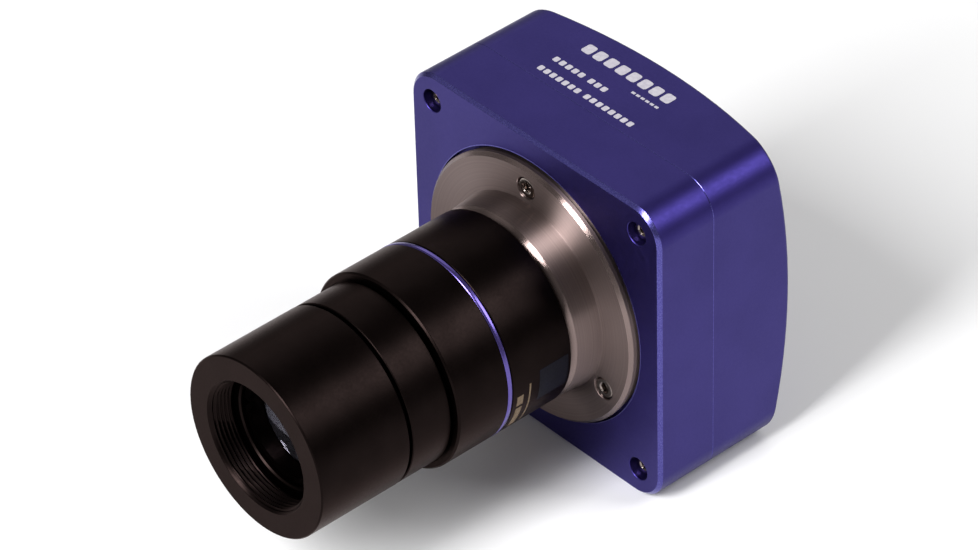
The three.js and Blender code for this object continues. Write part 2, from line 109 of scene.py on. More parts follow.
FINE = 144  # sides of a large round piece
SMALL = 40  # sides of a screw or a small hole
CORNER_STEPS = 12
SIDE_STEPS = 14
ROUND_STEPS = 4  # of a rounded corner in a turned section
THREAD_STEPS = 8  # rows of points in one turn of a thread

PITCH = 25.4 / 32  # of the C-mount thread
FILTER_PITCH = 0.75  # of the thread in the nosepiece's mouth


# ---- Building solids ----


def circle(radius, count=FINE, centre=(0.0, 0.0)):
    """A circle, anticlockwise from its right-hand side."""
    return [
        (centre[0] + radius * math.cos(a), centre[1] + radius * math.sin(a))
        for a in (2 * math.pi * i / count for i in range(count))
    ]


def rounded_box(half_width, half_height, corner, steps=CORNER_STEPS, side_steps=1, centre=(0.0, 0.0)):
    """A rectangle with round corners, anticlockwise from the right-hand side's lower end."""
    points = []
    for turn in range(4):
        sx, sz = ((1, 1), (-1, 1), (-1, -1), (1, -1))[turn]
        middle = Vector((sx * (half_width - corner), sz * (half_height - corner)))
        arc = [
            middle + corner * Vector((math.cos(a), math.sin(a)))
            for a in (math.pi / 2 * (turn + i / steps) for i in range(steps + 1))
        ]
        if points and side_steps > 1:
            start = points[-1]
            points += [start.lerp(arc[0], i / side_steps) for i in range(1, side_steps)]
        points += arc
    if side_steps > 1:
        start = points[-1]
        points += [start.lerp(points[0], i / side_steps) for i in range(1, side_steps)]
    return [(p.x + centre[0], p.y + centre[1]) for p in points]


def housing_loop(inset):
    """The housing's outline, moved inwards by the inset."""
    return rounded_box(HALF - inset, HALF - inset, CORNER - inset, side_steps=SIDE_STEPS)


def posted_square(half):
    """The outline of a cavity that runs round the four screw posts, anticlockwise."""
    post = CAVITY["post"]
    reach = half - SCREW_AT
    first = -math.acos(reach / post)
    last = -3 * math.pi / 2 - first
    points = []
    for turn in range(4):
        spin = Matrix.Rotation(math.pi / 2 * turn, 2)
        for i in range(CORNER_STEPS + 1):
            a = first + (last - first) * i / CORNER_STEPS
            corner = Vector((SCREW_AT + post * math.cos(a), SCREW_AT + post * math.sin(a)))
            points.append(tuple(spin @ corner))
    return points


def inside(point, loop):
    """Whether a point lies inside a loop."""
    x, z = point
    hit = False
    for (x0, z0), (x1, z1) in zip(loop, loop[1:] + loop[:1]):
        if (z0 > z) != (z1 > z) and x < (x1 - x0) * (z - z0) / (z1 - z0) + x0:
            hit = not hit
    return hit


class Solid:
    """Vertices and faces gathered in the lens frame."""

    def __init__(self):
        self.points = []
        self.faces = []
        self.second_finish = set()  # faces that take the piece's second material

    def ring(self, loop, y):
        """Adds a loop of (x, z) points at y, which is a number or a function of x and z."""
        start = len(self.points)
        self.points += [(x, y(x, z) if callable(y) else y, z) for x, z in loop]
        return list(range(start, len(self.points)))

    def bridge(self, a, b):
        """Joins two rings of equal length with a band of faces."""
        for i in range(len(a)):
            j = (i + 1) % len(a)
            self.faces.append((a[i], a[j], b[j], b[i]))

    def walls(self, rings, second_finish=()):
        """Joins rings given as (loop, y), each to the next. The bands listed in second_finish take the
        second material.
        """
        made = [self.ring(loop, y) for loop, y in rings]
        for band, (a, b) in enumerate(zip(made, made[1:])):
            first = len(self.faces)
            self.bridge(a, b)
            if band in second_finish:
                self.second_finish.update(range(first, len(self.faces)))

    def disc(self, loop, y):
        """Closes a loop with a fan of triangles about its middle."""
        ring = self.ring(loop, y)
        centre = (sum(p[0] for p in loop) / len(loop), sum(p[1] for p in loop) / len(loop))
        middle = self.ring([centre], y)[0]
        self.faces += [(ring[i], ring[(i + 1) % len(ring)], middle) for i in range(len(ring))]

    def sheet(self, outer, holes, y, spacing=0.0):
        """A face at y inside the outer loop and outside the holes, with a grid of points inside it."""
        loops = [outer, *holes]
        points, edges = [], []
        for loop in loops:
            start, count = len(points), len(loop)
            points += [Vector(p) for p in loop]
            edges += [(start + i, start + (i + 1) % count) for i in range(count)]
        if spacing:
            steps = int(HALF / spacing)
            marks = [i * spacing for i in range(-steps, steps + 1)]
            grid = [(x, z) for x in marks for z in marks]
            clear = [Vector(p) for loop in loops for p in loop]
            points += [
                Vector(p) for p in grid
                if inside(p, outer) and not any(inside(p, h) for h in holes)
                and min((Vector(p) - q).length_squared for q in clear) > (spacing / 2) ** 2
            ]
        places, _, faces, *_ = delaunay_2d_cdt(points, edges, [], 1, 1e-6)
        start = len(self.points)
        self.points += [(p.x, y(p.x, p.y) if callable(y) else y, p.y) for p in places]
        for face in faces:
            middle = sum((places[i] for i in face), Vector((0, 0))) / len(face)
            if inside(middle, outer) and not any(inside(middle, h) for h in holes):
                self.faces.append(tuple(start + i for i in face))

    def turn(self, section, sides=FINE, centre=(0.0, 0.0), closed=True):
        """Turns a section of (radius, y) points about the lens axis, or about a centre."""
        axis = [i for i, (r, _) in enumerate(section) if r < 1e-9]
        rings = [
            self.ring([centre] if i in axis else circle(r, sides, centre), y)
            for i, (r, y) in enumerate(section)
        ]
        pairs = list(zip(rings, rings[1:]))
        if closed and not axis:
            pairs.append((rings[-1], rings[0]))
        for a, b in pairs:
            if len(a) == 1:
                self.faces += [(a[0], b[(i + 1) % sides], b[i]) for i in range(sides)]
            elif len(b) == 1:
                self.faces += [(a[i], a[(i + 1) % sides], b[0]) for i in range(sides)]
            else:
                self.bridge(a, b)

    def lathe(self, section, sides=FINE, centre=(0.0, 0.0), closed=False):
        """Rounds the corners of a section and turns it."""
        self.turn(rounded(section, closed), sides, centre, closed)

    def thread(self, radius, depth, y0, y1, pitch, sides=FINE):
        """A thread from y0 to y1, whose turns run out over the last half turn at each end.

        It is drawn left-handed, and the real threads are right-handed.
        """
        rows = round(THREAD_STEPS * (y1 - y0) / pitch)
        steepness = 2.3
        rings = []
        for row in range(rows + 1):
            y = y0 + (y1 - y0) * row / rows
            fade = min(1.0, 2 * (y - y0) / pitch, 2 * (y1 - y) / pitch)
            loop = []
            for i in range(sides):
                phase = (y / pitch - i / sides) % 1.0
                crest = max(0.0, 1 - steepness * abs(phase - 0.5))
                a = 2 * math.pi * i / sides
                r = radius + depth * fade * crest
                loop.append((r * math.cos(a), r * math.sin(a)))
            rings.append(self.ring(loop, y))
        for a, b in zip(rings, rings[1:]):
            self.bridge(a, b)

    def build(self, name, materials, sharp):
        """Makes the object, smooth except at edges that turn by more than sharp degrees."""
        mesh = bpy.data.meshes.new(name)
        places = [
            (AXIS_X + x * MM, FRONT + y * MM, AXIS_Z + z * MM) for x, y, z in self.points
        ]
        mesh.from_pydata(places, [], self.faces)
        for material in materials:
            mesh.materials.append(material)
        for face in self.second_finish:
            mesh.polygons[face].material_index = 1
        shape = bmesh.new()
        shape.from_mesh(mesh)
        same_point, no_length, flatness = 0.002 * MM, 0.001 * MM, 60
        bmesh.ops.remove_doubles(shape, verts=shape.verts, dist=same_point)
        bmesh.ops.dissolve_degenerate(shape, edges=shape.edges, dist=no_length)
        bmesh.ops.recalc_face_normals(shape, faces=shape.faces)
        for face in shape.faces:
            face.smooth = True
        for edge in shape.edges:
            edge.smooth = edge.calc_face_angle(math.pi) < math.radians(sharp)
        shape.to_mesh(mesh)
        shape.free()
        piece = bpy.data.objects.new(name, mesh)
        bpy.context.scene.collection.objects.link(piece)
        normals = piece.modifiers.new("flat faces stay flat", "WEIGHTED_NORMAL")
        normals.keep_sharp = True
        normals.weight = flatness
        return piece


def rounded(section, closed):
    """Rounds the corners of a section. A point is (radius, y) or (radius, y, corner radius)."""
    count = len(section)
    out = []
    for i, point in enumerate(section):
        here = Vector(point[:2])
        size = point[2] if len(point) > 2 else 0.0
        if not size or (not closed and i in (0, count - 1)):
            out.append((here.x, here.y))
            continue
        before = Vector(section[i - 1][:2]) - here
        after = Vector(section[(i + 1) % count][:2]) - here
        half = before.angle(after) / 2
        reach = min(size / math.tan(half), 0.48 * before.length, 0.48 * after.length)
        start = here + before.normalized() * reach
        end = here + after.normalized() * reach
        centre = here + (before.normalized() + after.normalized()).normalized() * (reach / math.cos(half))
        a = start - centre
        b = end - centre
        sweep = a.angle_signed(b)
        for k in range(ROUND_STEPS + 1):
            turned = a.copy()
            turned.rotate(Matrix.Rotation(-sweep * k / ROUND_STEPS, 2))
            out.append(((centre + turned).x, (centre + turned).y))
    return out


# ---- Materials ----


class Surface:
    """A procedural material round one Principled shader. Lengths are in millimetres."""

    def __init__(self, name, metallic=0.0, **sockets):
        self.material = bpy.data.materials.new(name)
        self.material.use_nodes = True
        self.tree = self.material.node_tree
        self.shader = self.tree.nodes["Principled BSDF"]
        self.shader.inputs["Metallic"].default_value = metallic
        for socket, value in sockets.items():
            self.shader.inputs[socket.replace("_", " ")].default_value = value
        self.place = self.node("ShaderNodeTexCoord").outputs["Object"]

    def node(self, kind, **settings):
        """Adds a node to the material."""
        made = self.tree.nodes.new(kind)
        for key, value in settings.items():
            setattr(made, key, value)
        return made

    def join(self, source, target):
        self.tree.links.new(source, target)

    def noise(self, grain, detail=3.0, stretch=(1.0, 1.0, 1.0)):
        """Noise whose features are about a grain across."""
        scaled = self.node("ShaderNodeMapping")
        scaled.inputs["Scale"].default_value = stretch
        self.join(self.place, scaled.inputs["Vector"])
        texture = self.node("ShaderNodeTexNoise")
        texture.inputs["Scale"].default_value = 1 / (grain * MM)
        texture.inputs["Detail"].default_value = detail
        self.join(scaled.outputs["Vector"], texture.inputs["Vector"])
        return texture.outputs["Fac"]

    def grooves(self, pitch, detail=2.0):
        """Noise that changes only along the radius and the axis, as a lathe's cut does."""
        shifted = self.node("ShaderNodeVectorMath", operation="SUBTRACT")
        shifted.inputs[1].default_value = (AXIS_X, 0, AXIS_Z)
        self.join(self.place, shifted.inputs[0])
        parts = self.node("ShaderNodeSeparateXYZ")
        self.join(shifted.outputs["Vector"], parts.inputs["Vector"])
        flat = self.node("ShaderNodeCombineXYZ")
        self.join(parts.outputs["X"], flat.inputs["X"])
        self.join(parts.outputs["Z"], flat.inputs["Z"])
        length = self.node("ShaderNodeVectorMath", operation="LENGTH")
        self.join(flat.outputs["Vector"], length.inputs[0])
        along = self.node("ShaderNodeMath", operation="ADD")
        self.join(length.outputs["Value"], along.inputs[0])
        self.join(parts.outputs["Y"], along.inputs[1])
        texture = self.node("ShaderNodeTexNoise", noise_dimensions="1D")
        texture.inputs["Scale"].default_value = 1 / (pitch * MM)
        texture.inputs["Detail"].default_value = detail
        self.join(along.outputs["Value"], texture.inputs["W"])
        return texture.outputs["Fac"]

    def spread(self, source, low, high, start=0.3, end=0.7):
        """Maps a source from start-end to low-high."""
        mapped = self.node("ShaderNodeMapRange")
        for socket, value in zip(("From Min", "From Max", "To Min", "To Max"), (start, end, low, high)):
            mapped.inputs[socket].default_value = value
        self.join(source, mapped.inputs["Value"])
        return mapped.outputs["Result"]

    def colour(self, source, one, other, start=0.35, end=0.65):
        """Blends two colours as the source goes from start to end."""
        mix = self.node("ShaderNodeMix", data_type="RGBA")
        mix.inputs["A"].default_value = (*one, 1)
        mix.inputs["B"].default_value = (*other, 1)
        self.join(self.spread(source, 0, 1, start, end), mix.inputs["Factor"])
        self.join(mix.outputs["Result"], self.shader.inputs["Base Color"])
        return self

    def roughness(self, source, low, high):
        """Varies the roughness with the source."""
        self.join(self.spread(source, low, high), self.shader.inputs["Roughness"])
        return self

    def bump(self, source, depth):
        """Raises the surface by up to a depth in millimetres."""
        made = self.node("ShaderNodeBump")
        made.inputs["Distance"].default_value = depth * MM
        self.join(source, made.inputs["Height"])
        self.join(made.outputs["Normal"], self.shader.inputs["Normal"])
        return self

    def turned(self):
        """Stretches highlights across the marks of a lathe."""
        self.shader.inputs["Anisotropic"].default_value = 1.0
        self.shader.inputs["Anisotropic Rotation"].default_value = 0.25
        tangent = self.node("ShaderNodeTangent", direction_type="RADIAL", axis="Y")
        self.join(tangent.outputs["Tangent"], self.shader.inputs["Tangent"])
        return self


def anodised_blue():
    look = Surface("anodised_blue", metallic=1.0)
    look.colour(look.noise(9.0), (0.035, 0.0262, 0.154), (0.040, 0.0300, 0.170))
    look.roughness(look.noise(0.5), 0.40, 0.48)
    return look.bump(look.noise(0.16, detail=2), 0.012).material


def rubbed_edge_and_highlight():
    """The housing's cut edges: a speckled, thin colour as on rubbed anodising, made lighter than the faces
    as a painted highlight on the chamfers and the recess lip.
    """
    look = Surface("rubbed_edge_and_highlight", metallic=1.0, Coat_Weight=0.2, Coat_Roughness=0.2)
    # Lighter than the anodised faces: partly real wear, partly a painted highlight.
    look.colour(look.noise(0.16, detail=4), (0.060, 0.052, 0.245), (0.115, 0.105, 0.36), 0.42, 0.66)
    look.roughness(look.noise(0.3), 0.22, 0.30)
    return look.bump(look.noise(0.2), 0.008).material


def turned_aluminium(name, smoothest, roughest):
    look = Surface(name, metallic=1.0).turned()
    look.colour(look.grooves(0.3), (0.205, 0.154, 0.145), (0.232, 0.176, 0.166))
    look.roughness(look.grooves(0.12), smoothest, roughest)
    return look.bump(look.grooves(0.09), 0.0006).material


def black_anodised():
    look = Surface("black_anodised", metallic=1.0, Specular_Tint=(0.70, 0.64, 0.63, 1))
    look.colour(look.noise(5.0), (0.0075, 0.0050, 0.0047), (0.0095, 0.0064, 0.0060))
    look.roughness(look.noise(0.4), 0.30, 0.38)
    return look.bump(look.grooves(0.11), 0.002).material


def accent_violet():
    look = Surface("accent_violet", metallic=1.0, Coat_Weight=0.2, Coat_Roughness=0.15)
    look.colour(look.noise(4.0), (0.105, 0.078, 0.30), (0.12, 0.088, 0.34))
    look.roughness(look.grooves(0.08), 0.2, 0.3)
    return look.material


def bright_steel():
    look = Surface("bright_steel", metallic=1.0)
    look.colour(look.noise(0.8), (0.20, 0.165, 0.15), (0.27, 0.23, 0.21))
    look.roughness(look.noise(0.3), 0.13, 0.22)
    return look.bump(look.noise(0.12), 0.004).material


def coated_glass():
    look = Surface("coated_glass", Transmission_Weight=1.0, IOR=1.6, Specular_Tint=(0.85, 0.80, 1.0, 1))
    look.colour(look.noise(6.0), (0.93, 0.96, 1.0), (0.96, 0.98, 1.0))
    look.roughness(look.noise(2.0), 0.0, 0.02)
    return look.material


def foam_rubber():
    look = Surface("foam_rubber")
    look.colour(look.noise(0.6), (0.012, 0.012, 0.012), (0.024, 0.024, 0.024))
    look.roughness(look.noise(0.5), 0.8, 0.95)
    return look.bump(look.noise(0.35), 0.06).material


def solder_mask():
    look = Surface("solder_mask", Coat_Weight=0.4, Coat_Roughness=0.15)
    look.colour(look.noise(1.4, detail=1), (0.006, 0.05, 0.026), (0.012, 0.085, 0.045), 0.48, 0.52)
    look.roughness(look.noise(0.8), 0.3, 0.45)
    return look.bump(look.noise(1.4, detail=1), 0.03).material


def chip_package():
    look = Surface("chip_package")
    look.colour(look.noise(0.5), (0.014, 0.014, 0.015), (0.022, 0.022, 0.024))
    look.roughness(look.noise(0.3), 0.5, 0.65)
    return look.bump(look.noise(0.12), 0.01).material


def tinned_steel():
    look = Surface("tinned_steel", metallic=1.0)
    look.colour(look.noise(1.5), (0.56, 0.55, 0.53), (0.68, 0.67, 0.65))
    look.roughness(look.noise(0.6), 0.2, 0.36)
    return look.bump(look.noise(0.15, stretch=(1, 0.1, 1)), 0.004).material


def moulding(name, dark, light):
    look = Surface(name)
    look.colour(look.noise(2.5), dark, light)
    look.roughness(look.noise(0.4), 0.42, 0.56)
    return look.bump(look.noise(0.14), 0.008).material


def brass():
    look = Surface("brass", metallic=1.0)
    look.colour(look.noise(1.2), (0.60, 0.43, 0.16), (0.74, 0.55, 0.24))
    look.roughness(look.noise(0.4), 0.18, 0.32)
    return look.bump(look.noise(0.15), 0.004).material


def clear_plastic():
    look = Surface("clear_plastic", Transmission_Weight=0.85, IOR=1.49)
    look.colour(look.noise(2.0), (0.80, 0.88, 0.84), (0.88, 0.94, 0.90))
    look.roughness(look.noise(0.5), 0.08, 0.2)
    return look.material


def ink(name, one, other):
    look = Surface(name, Specular_IOR_Level=0.12)
    look.colour(look.noise(0.7), one, other)
    look.roughness(look.noise(0.3), 0.45, 0.6)
    return look.bump(look.noise(0.1), 0.006).material


def pale_floor():
    look = Surface("pale_floor")
    look.colour(look.noise(60.0), (0.90, 0.90, 0.905), (0.915, 0.915, 0.92))
    look.roughness(look.noise(20.0), 0.6, 0.7)
    return look.bump(look.noise(0.8), 0.01).material


LOOKS = {
    "anodised_blue": anodised_blue(),
    "turned_aluminium": turned_aluminium("turned_aluminium", 0.40, 0.47),
    "black_anodised": black_anodised(),
    "accent_violet": accent_violet(),
    "bright_steel": bright_steel(),
    "glass": coated_glass(),
    "rubber": foam_rubber(),
    "circuit_board": solder_mask(),
    "chip_package": chip_package(),
    "tinned_steel": tinned_steel(),
    "black_moulding": moulding("black_moulding", (0.010, 0.010, 0.011), (0.016, 0.016, 0.017)),
    "white_moulding": moulding("white_moulding", (0.62, 0.61, 0.57), (0.68, 0.67, 0.63)),
    "brass": brass(),
    "clear_plastic": clear_plastic(),
}
# The rubbed edge's lighter colour is a painted highlight on top of real wear.
RUBBED_EDGE_AND_HIGHLIGHT = rubbed_edge_and_highlight()
TURNED_BEVEL = turned_aluminium("turned_bevel", 0.22, 0.28)
PALE_INK = ink("pale_ink", (0.42, 0.40, 0.46), (0.50, 0.48, 0.53))
GOLD_INK = ink("gold_ink", (0.16, 0.11, 0.07), (0.22, 0.16, 0.10))
NAVY_INK = ink("navy_ink", (0.0012, 0.0008, 0.0045), (0.0018, 0.0012, 0.0065))


def place(solid, name, slot, body, *nodes, look=None, edge=None, sharp=35.0):
    """Builds a piece, rides it on a CAD body and hides the CAD nodes that it stands for."""
    piece = solid.build(name, [look or LOOKS[slot], *([edge] if edge else [])], sharp)
    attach(piece, body)
    if nodes:
        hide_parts(*nodes)
    return piece


# ---- Housing ----


def four(offset):
    """The four places at an offset from the lens axis, one in each corner."""
    return [(sx * offset, sz * offset) for sx, sz in ((-1, 1), (1, 1), (1, -1), (-1, -1))]


def dome(x, z):
    """How far back the domed back reaches."""
    return BACK - DOME_RADIUS + math.sqrt(DOME_RADIUS * DOME_RADIUS - x * x - z * z)


def counterbore(solid, centre, face, depth, through):
    """A hole for a screw head and the clearance hole behind it. Returns its two open ends."""
    radius, rim, clearance = COUNTERBORE["radius"], COUNTERBORE["rim"], COUNTERBORE["clearance"]
    solid.lathe([
        (radius + rim, face), (radius, face + rim, 0.05), (radius, depth), (clearance, depth),
        (clearance, through),
    ], SMALL, centre)
    return circle(radius + rim, SMALL, centre), circle(clearance, SMALL, centre)


def front_shell():
    """The front half: chamfered front edge, four counterbores and a lipped recess for the flange."""
    solid = Solid()
    chamfer, soft, softened = 0.62, 0.12, 0.09  # the chamfer, and how its two edges are broken
    recess = radius_of("c_mount_flange") + FLANGE_GAP
    recess_floor = 1.5
    rim, lip, lip_top, lip_height = 0.26, 0.09, 0.144, 0.063
    outer = recess + rim
    end = SEAM - HAIRLINE / 2
    bores = [counterbore(solid, at, 0, COUNTERBORE["depth"], end) for at in four(SCREW_AT)]
    solid.sheet(housing_loop(chamfer), [circle(outer), *[b[0] for b in bores]], 0)
    # The chamfer bands and the seam's broken edge take the rubbed edge's lighter colour, a painted
    # highlight.
    solid.walls([
        (housing_loop(chamfer), 0), (housing_loop(chamfer - soft), softened),
        (housing_loop(softened), chamfer - soft), (housing_loop(0), chamfer),
        (housing_loop(0), end - EDGE), (housing_loop(EDGE), end),
    ], second_finish=(0, 1, 2, 4))
    # The recess's rim and lip take the same lighter colour, a painted highlight.
    solid.walls([
        (circle(outer), 0), (circle(outer - lip), -lip_height), (circle(outer - lip_top), -lip_height),
        (circle(recess), rim),
    ], second_finish=(0, 1, 2))
    solid.turn(
        [(recess, rim), (recess, recess_floor), (MOUNT_HOLE, recess_floor), (MOUNT_HOLE, CAVITY["wall"])],
        closed=False,
    )
    cavity = posted_square(CAVITY["front"])
    solid.sheet(cavity, [circle(MOUNT_HOLE)], CAVITY["wall"])
    solid.walls([(cavity, CAVITY["wall"]), (cavity, end)])
    solid.sheet(housing_loop(EDGE), [cavity, *[b[1] for b in bores]], end)
    return place(solid, "front_shell", "anodised_blue", "camera", "front_housing", edge=RUBBED_EDGE_AND_HIGHLIGHT)


def doorway(node, grow=0.0):
    """The outline of the opening round a socket."""
    width, height = size_of(node)
    room = DOOR_GAP + grow
    corner = 0.6 + grow
    return rounded_box(width / 2 + room, height / 2 + room, corner, 4, centre=centre_of(node))


def rear_shell():
    """The rear half: a pocket round four screw posts, a domed back and its three openings."""
    solid = Solid()
    start = SEAM + HAIRLINE / 2
    fillet, rim, lamp_hole, spacing = 0.7, 0.35, 1.65, 2.4
    seam_loops = [circle(COUNTERBORE["tapped"], SMALL, at) for at in four(SCREW_AT)]
    pocket = posted_square(CAVITY["rear"])
    solid.sheet(housing_loop(EDGE), [pocket, *seam_loops], start)
    for loop in seam_loops:
        solid.walls([(loop, start), (loop, COUNTERBORE["tip"])])
        solid.disc(loop, COUNTERBORE["tip"])
    solid.walls([(pocket, start), (pocket, CAVITY["floor"])])

    def edge_ring(degrees):
        """The rounded edge between the sides and the dome."""
        a = math.radians(degrees)
        inset = fillet * (1 - math.cos(a))
        rise = fillet * (math.sin(a) - 1)
        shrink = (HALF - fillet) / (HALF - inset)
        return housing_loop(inset), lambda x, z: dome(x * shrink, z * shrink) + rise

    # The seam's broken edge takes the rubbed edge's lighter colour, a painted highlight.
    solid.walls([
        (housing_loop(EDGE), start), (housing_loop(0), start + EDGE),
        *[edge_ring(d) for d in (0, 18, 36, 54, 72, 90)],
    ], second_finish=(0,))
    lamp = centre_of("light_pipe")
    openings = [
        (doorway("usb_shell"), doorway("usb_shell", rim)),
        (doorway("guide_socket"), doorway("guide_socket", rim)),
        (circle(lamp_hole, SMALL, lamp), circle(lamp_hole + rim, SMALL, lamp)),
    ]
    solid.sheet(housing_loop(fillet), [wide for _, wide in openings], dome, spacing)
    for narrow, wide in openings:
        solid.walls([(wide, dome), (narrow, lambda x, z: dome(x, z) - rim), (narrow, CAVITY["floor"])])
    solid.sheet(pocket, [narrow for narrow, _ in openings], CAVITY["floor"])
    return place(solid, "rear_shell", "anodised_blue", "camera", "rear_housing", edge=RUBBED_EDGE_AND_HIGHLIGHT)


# ---- Screws ----


def hexagon(flat_radius, count, centre, turned):
    """A hexagon with points spread evenly round it, by angle."""
    points = []
    for i in range(count):
        a = 2 * math.pi * i / count
        sector = (a + turned) % (math.pi / 3) - math.pi / 6
        r = flat_radius / math.cos(sector)
        points.append((centre[0] + r * math.cos(a), centre[1] + r * math.sin(a)))
    return points


def socket_screw(name, node, head_radius, head, tip, turned):
    """A socket-head screw that faces forwards: domed edge, bevelled hexagonal socket, plain shank."""
    solid = Solid()
    centre = centre_of(node)
    face = ends(node)[0]
    count = 48
    flat, mouth, mouth_depth, socket_depth = 0.78, 1.05, 0.16, 1.0
    drill, drill_depth, shank, point, soft = 0.25, 1.25, 0.95, 0.3, 0.32

    def ring(radius, y):
        return circle(radius, count, centre), y

    edge = [
        ring(head_radius - soft * (1 - math.sin(a)), face + soft * (1 - math.cos(a)))
        for a in (math.radians(degrees) for degrees in (0, 22.5, 45, 67.5, 90))
    ]
    hexes = hexagon(flat, count, centre, turned)
    solid.walls([
        ring(drill, face + drill_depth), (hexes, face + socket_depth), (hexes, face + mouth_depth),
        ring(mouth, face), *edge, ring(head_radius, face + head), ring(shank, face + head),
        ring(shank, tip - point), ring(shank - point, tip),
    ])
    solid.disc(*ring(drill, face + drill_depth))
    solid.disc(*ring(shank - point, tip))
    return place(solid, name, "bright_steel", "camera", node, sharp=28.0)


def screws():
    """Four screws in the housing's corners and three in the flange, each turned by its own angle."""
    head_radius, corner_head, mount_head = 1.9, 2.0, 1.3
    for i in range(1, 5):
        node = f"housing_screw_{i}"
        socket_screw(f"corner_screw_{i}", node, head_radius, corner_head, ends(node)[1], 0.35 * i)
    for i, side in enumerate(("top", "left", "right")):
        node = f"flange_screw_{side}"
        socket_screw(f"mount_screw_{side}", node, head_radius, mount_head, ends(node)[1], 0.2 + 0.4 * i)


# ---- C-mount flange ----


def c_mount():
    """The flange: a bevelled disc in the recess, a boss with the female thread, and a rear spigot."""
    solid = Solid()
    radius = radius_of("c_mount_flange")
    front, back = ends("c_mount_flange")
    face, seat, disc_back = -1.55, 0.05, 1.4
    bevel, nose_bevel, soft = 0.6, 0.8, 0.06
    undercut, undercut_from = 0.35, -0.35
    tip, root, fillet, fillet_middle = 17.05, 17.45, 0.3, 0.09  # the boss, where it starts and its fillet
    spigot, filter_bore, filter_ledge, throat = 14.5, 9.95, 1.8, 8.8
    groove, crest, thread_front, thread_back = 13.2, -0.4, -6.9, -2.6
    mouth = groove + 0.2
    bores = [
        counterbore(solid, centre_of(f"flange_screw_{side}"), face, seat, disc_back)
        for side in ("top", "left", "right")
    ]
    solid.sheet(circle(radius - bevel), [circle(root + fillet), *[b[0] for b in bores]], face)
    solid.walls([(circle(radius - bevel), face), (circle(radius - soft), face + bevel - soft)], second_finish=(0,))
    solid.lathe([
        (radius - soft, face + bevel - soft), (radius, face + bevel, 0.12),
        (radius, undercut_from, 0.05), (radius - undercut, undercut_from + undercut),
        (radius - undercut, disc_back),
    ])
    solid.sheet(circle(radius - undercut), [circle(spigot), *[b[1] for b in bores]], disc_back)
    solid.lathe([
        (spigot, disc_back), (spigot, back, 0.2), (filter_bore, back), (filter_bore, filter_ledge),
        (throat, filter_ledge, 0.1), (throat, thread_back), (groove, thread_back),
    ])
    solid.thread(groove, crest, thread_front, thread_back, PITCH)
    solid.lathe([(groove, thread_front), (mouth, front, 0.05), (tip - nose_bevel, front)])
    solid.walls(
        [(circle(tip - nose_bevel), front), (circle(tip - soft), front + nose_bevel - soft)], second_finish=(0,)
    )
    solid.lathe([
        (tip - soft, front + nose_bevel - soft), (tip, front + nose_bevel, 0.1),
        (root, face - fillet), (root + fillet_middle, face - fillet_middle), (root + fillet, face),
    ])
    return place(solid, "mount_flange", "turned_aluminium", "camera", "c_mount_flange", edge=TURNED_BEVEL)


# ---- Adapter ----


def ring_piece(name, node, slot, body, section):
    """A ring turned from a closed section."""
    solid = Solid()
    solid.lathe(section, closed=True)
    return place(solid, name, slot, body, node)


def rear_sleeve():
    """The rear barrel, with the male C-mount thread on its neck."""
    solid = Solid()
    front, neck_end = ends("rear_barrel")
    radius = radius_of("rear_barrel")
    neck, crest, shoulder, wall, hollow, bore = 12.2, 0.42, -7.75, 2, 15.75, 10.9
    solid.lathe([
        (neck, neck_end), (bore + 0.2, neck_end, 0.1), (bore, neck_end - 0.3), (bore, shoulder - wall),
        (hollow, shoulder - wall), (hollow, front), (radius - 0.08, front, 0.03),
        (radius, front + 0.1, 0.05), (radius, shoulder - 0.25, 0.2), (radius - 0.3, shoulder, 0.1),
        (neck, shoulder),
    ])
    solid.thread(neck, crest, shoulder, neck_end, PITCH)
    return place(solid, "rear_sleeve", "black_anodised", "adapter", "rear_barrel")


def accent_band():
    """The violet ring, a little proud of the barrels."""
    crown, hollow = radius_of("accent_ring"), 15.75
    front, back = ends("accent_ring")
    ring_piece("accent_band", "accent_ring", "accent_violet", "adapter", [
        (hollow, front), (crown - 0.14, front, 0.05), (crown, front + 0.2, 0.3),
        (crown, back - 0.2, 0.3), (crown - 0.14, back, 0.05), (hollow, back),
    ])


def front_sleeve():
    """The front barrel, which reaches back under the violet ring."""
    front, back = ends("front_barrel")
    radius, shoulder = radius_of("rear_barrel"), ends("accent_ring")[0] - GAP
    bore, wide_bore, step, skirt, seat, seat_depth = 11.65, 14.8, -28, 15.6, 16.0, 0.35
    ring_piece("front_sleeve", "front_barrel", "black_anodised", "adapter", [
        (bore, step), (wide_bore, step), (wide_bore, back), (skirt, back), (skirt, shoulder),
        (radius, shoulder, 0.08), (radius, front + 0.3, 0.12), (radius - 0.3, front, 0.12),
        (seat, front, 0.05), (seat, front + seat_depth), (bore, front + seat_depth),
    ])


def fixed_collar():
    """The hollow collar that the back of the nosepiece rests against."""
    front, back = ends("stop_collar")
    radius, bore, tenon, tenon_depth = radius_of("stop_collar"), 11.65, 15.2, 0.35
    hollow, hollow_front, hollow_back = 14, -38.6, -33
    ring_piece("fixed_collar", "stop_collar", "black_anodised", "adapter", [
        (bore, back), (tenon, back), (tenon, back - tenon_depth), (radius - 0.1, back - tenon_depth, 0.05),
        (radius, back - 0.5, 0.06), (radius, front + 0.12, 0.08), (radius - 0.15, front, 0.05),
        (bore, front), (bore, hollow_front), (hollow, hollow_front), (hollow, hollow_back),
        (bore, hollow_back),
    ])


